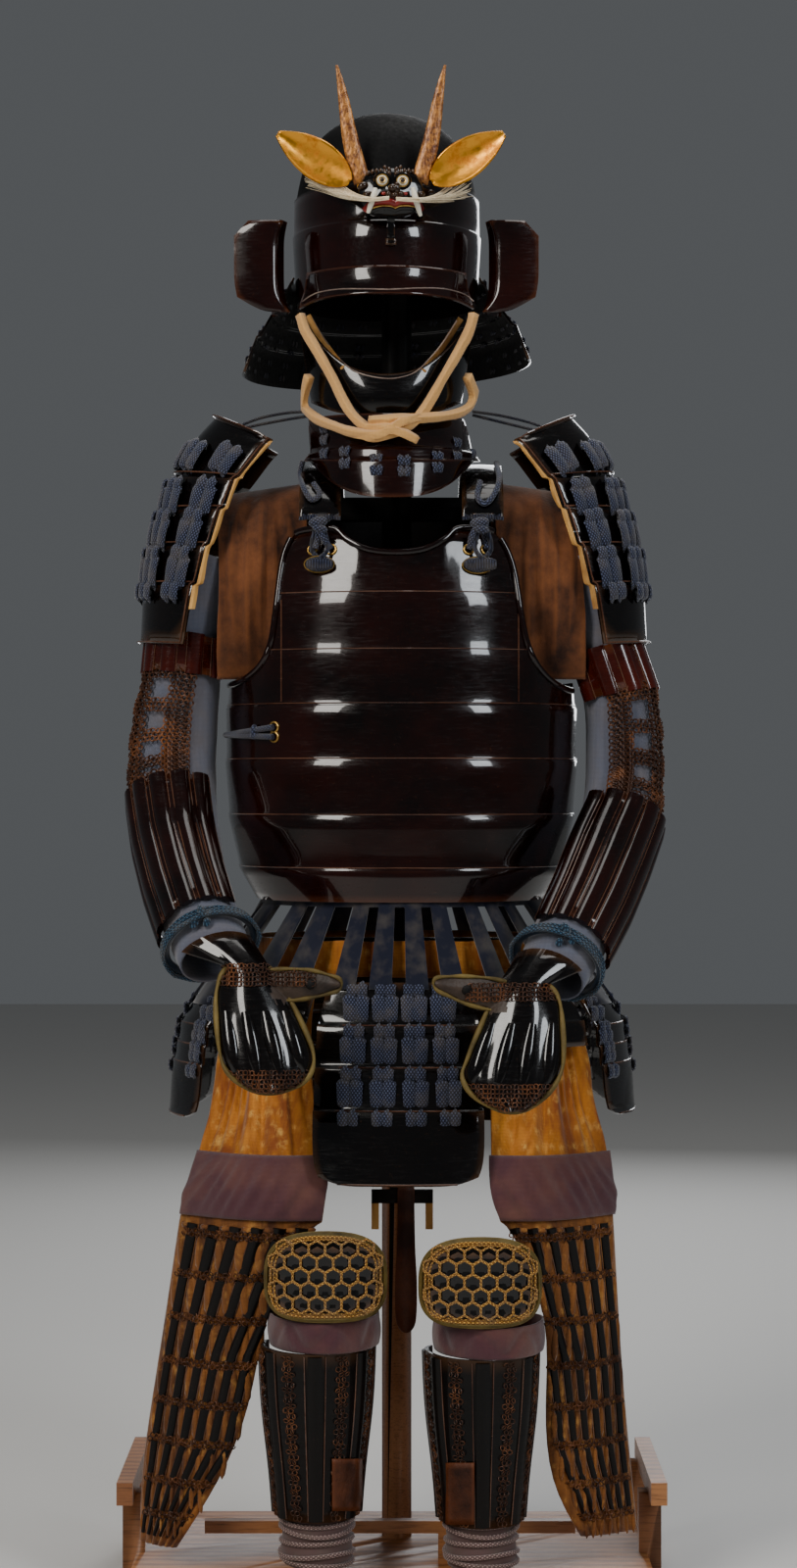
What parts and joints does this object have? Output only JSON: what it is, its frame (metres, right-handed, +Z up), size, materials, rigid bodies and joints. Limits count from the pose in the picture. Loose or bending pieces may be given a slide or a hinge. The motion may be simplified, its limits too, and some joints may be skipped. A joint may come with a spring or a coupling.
{
  "type": "samurai armour on a stand",
  "caption": "Lacquered samurai armour with horned crest, laced shoulder and skirt panels, mailed sleeves, thigh, knee and shin guards, posed on a wooden stand.",
  "frame": {"origin": "middle of the bounding box's base, on the floor under the stand's board", "axes": "+Z up; -Y is the way the armour faces; +X is to a viewer's right from the front"},
  "size_m": [0.5839, 0.4963, 1.6113],
  "materials": {
    "lacquer": "very dark red-brown lacquer, mirror gloss",
    "matt_lacquer": "black lacquer, satin",
    "lacing": "navy braided silk, matt",
    "rope": "tan padded cloth",
    "gold": "gilt, softly worn",
    "horn": "speckled gold-brown, satin",
    "brocade": "gold-orange woven brocade",
    "suede": "brown-orange suede",
    "band": "dark purple cloth",
    "sleeve_cloth": "grey-blue cloth",
    "leather": "brown leather",
    "hair": "cream hair",
    "wood": "oiled wood"
  },
  "bodies": {
    "root": {"helmet_bowl": "matt_lacquer", "helmet_peak": "lacquer", "neck_guard": "lacquer", "crest_face": "lacquer", "face_guard": "lacquer", "throat_guard": "lacquer", "chin_rope": "rope", "body_front": "lacquer", "body_back": "lacquer", "turned_wing_left": "lacquer", "turned_wing_right": "lacquer", "crest_horn_left": "horn", "crest_horn_right": "horn", "crest_ear_left": "gold", "crest_ear_right": "gold", "crest_whiskers_left": "hair", "crest_whiskers_right": "hair", "shoulder_cloth_left": "suede", "shoulder_cloth_right": "suede", "shoulder_strap_left": "lacing", "shoulder_strap_right": "lacing", "shoulder_guard_left": "lacquer", "shoulder_guard_right": "lacquer", "sleeve_left": "sleeve_cloth", "sleeve_right": "sleeve_cloth", "upper_splints_left": "lacquer", "upper_splints_right": "lacquer", "forearm_splints_left": "lacquer", "forearm_splints_right": "lacquer", "hand_guard_left": "lacquer", "hand_guard_right": "lacquer", "wrist_cord_left": "lacing", "wrist_cord_right": "lacing", "thigh_cloth_left": "brocade", "thigh_cloth_right": "brocade", "thigh_splints_left": "brocade", "thigh_splints_right": "brocade", "thigh_band_left": "band", "thigh_band_right": "band", "shin_guard_left": "lacquer", "shin_guard_right": "lacquer", "knee_guard_left": "matt_lacquer", "knee_guard_right": "matt_lacquer", "knee_rim_left": "leather", "knee_rim_right": "leather", "knee_tie_left": "band", "knee_tie_right": "band", "ankle_tie_left": "lacing", "ankle_tie_right": "lacing", "hanging_laces": "lacing", "thigh_belt": "brocade", "stand": "wood", "centre_tab": "leather", "tasset_front": "lacquer", "tasset_front_left": "lacquer", "tasset_front_right": "lacquer", "tasset_side_left": "lacquer", "tasset_side_right": "lacquer", "tasset_back": "lacquer"}
  },
  "joints": []
}
